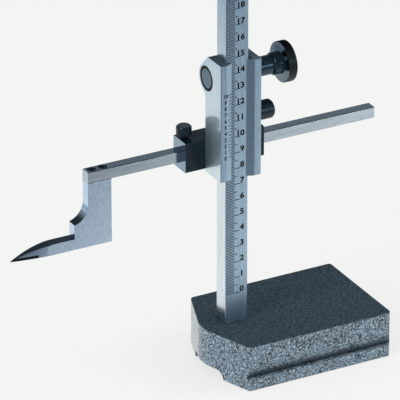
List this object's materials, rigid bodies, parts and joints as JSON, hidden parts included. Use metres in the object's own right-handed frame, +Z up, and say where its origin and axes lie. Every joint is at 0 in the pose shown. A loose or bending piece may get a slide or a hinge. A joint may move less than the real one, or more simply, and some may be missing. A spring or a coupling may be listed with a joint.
{
  "type": "vernier height gauge",
  "caption": "Vernier height gauge: graduated column on a heavy base, rack-driven slider with a vernier, and a square arm that carries a carbide-tipped scriber.",
  "frame": {"origin": "on the surface plate, under the axis of the column", "axes": "+X along the arm towards the square end of the base, +Y away from the graduated face, +Z up the column"},
  "size_m": [0.2369, 0.0727, 0.316],
  "materials": {
    "base_paint": "smooth dark top, hammered silver sides",
    "column_steel": "satin, ground",
    "screw_steel": "blackened",
    "rack_steel": "milled",
    "slider_steel": "ground, polished sides",
    "spring_steel": "plain",
    "brass": "plain",
    "black_steel": "blackened, knurled",
    "shaft_steel": "turned",
    "bracket_steel": "blackened, polished ends",
    "arm_steel": "ground",
    "carbide": "ground"
  },
  "bodies": {
    "stand": {"base": "base_paint", "column": "column_steel", "column_screw": "screw_steel", "rack": "rack_steel", "rack_screws": "screw_steel", "stop_screw": "screw_steel"},
    "slider": {"slider_body": "slider_steel", "gib": "rack_steel", "gib_spring": "spring_steel", "gib_screws": "screw_steel", "pinion_bush": "black_steel", "bearing_sleeve": "black_steel", "arm_bracket": "bracket_steel", "bracket_screws": "screw_steel"},
    "drive": {"pinion_shaft": "shaft_steel", "friction_washer": "spring_steel", "drive_knob": "black_steel", "knob_screw": "screw_steel"},
    "lock_follower": {"lock_pad": "brass"},
    "lock": {"lock_screw": "black_steel"},
    "clamp_follower": {"clamp_pad": "brass"},
    "clamp": {"clamp_screw": "black_steel"},
    "arm": {"measuring_arm": "arm_steel", "scriber_body": "arm_steel", "carbide_tip": "carbide", "scriber_screws": "screw_steel"}
  },
  "joints": [
    {"name": "slider_slide", "type": "slide", "parent": "stand", "child": "slider", "axis": [0, 0, 1], "range_m": [-0.088, 0.112]},
    {"name": "drive_turn", "type": "hinge", "parent": "slider", "child": "drive", "pos_m": [0, 0.00961, 0.1811], "axis": [1, 0, 0], "range_deg": [-972, 1237]},
    {"name": "arm_slide", "type": "slide", "parent": "slider", "child": "arm", "axis": [1, 0, 0], "range_m": [-0.072, 0.044]},
    {"name": "lock_travel", "type": "slide", "parent": "slider", "child": "lock_follower", "axis": [1, 0, 0], "range_m": [0, 0.00105]},
    {"name": "lock_turn", "type": "hinge", "parent": "lock_follower", "child": "lock", "pos_m": [0.0152, 0, 0.1585], "axis": [1, 0, 0], "range_deg": [0, 541]},
    {"name": "clamp_travel", "type": "slide", "parent": "slider", "child": "clamp_follower", "axis": [0, 0, 1], "range_m": [0, 0.00105]},
    {"name": "clamp_turn", "type": "hinge", "parent": "clamp_follower", "child": "clamp", "pos_m": [-0.02085, 0.02005, 0.1435], "axis": [0, 0, 1], "range_deg": [0, 541]}
  ],
  "couplings": [
    {"joint": "drive_turn", "follows": "slider_slide", "rad_per_m": 192.31},
    {"joint": "lock_turn", "follows": "lock_travel", "rad_per_m": 8976},
    {"joint": "clamp_turn", "follows": "clamp_travel", "rad_per_m": 8976}
  ]
}
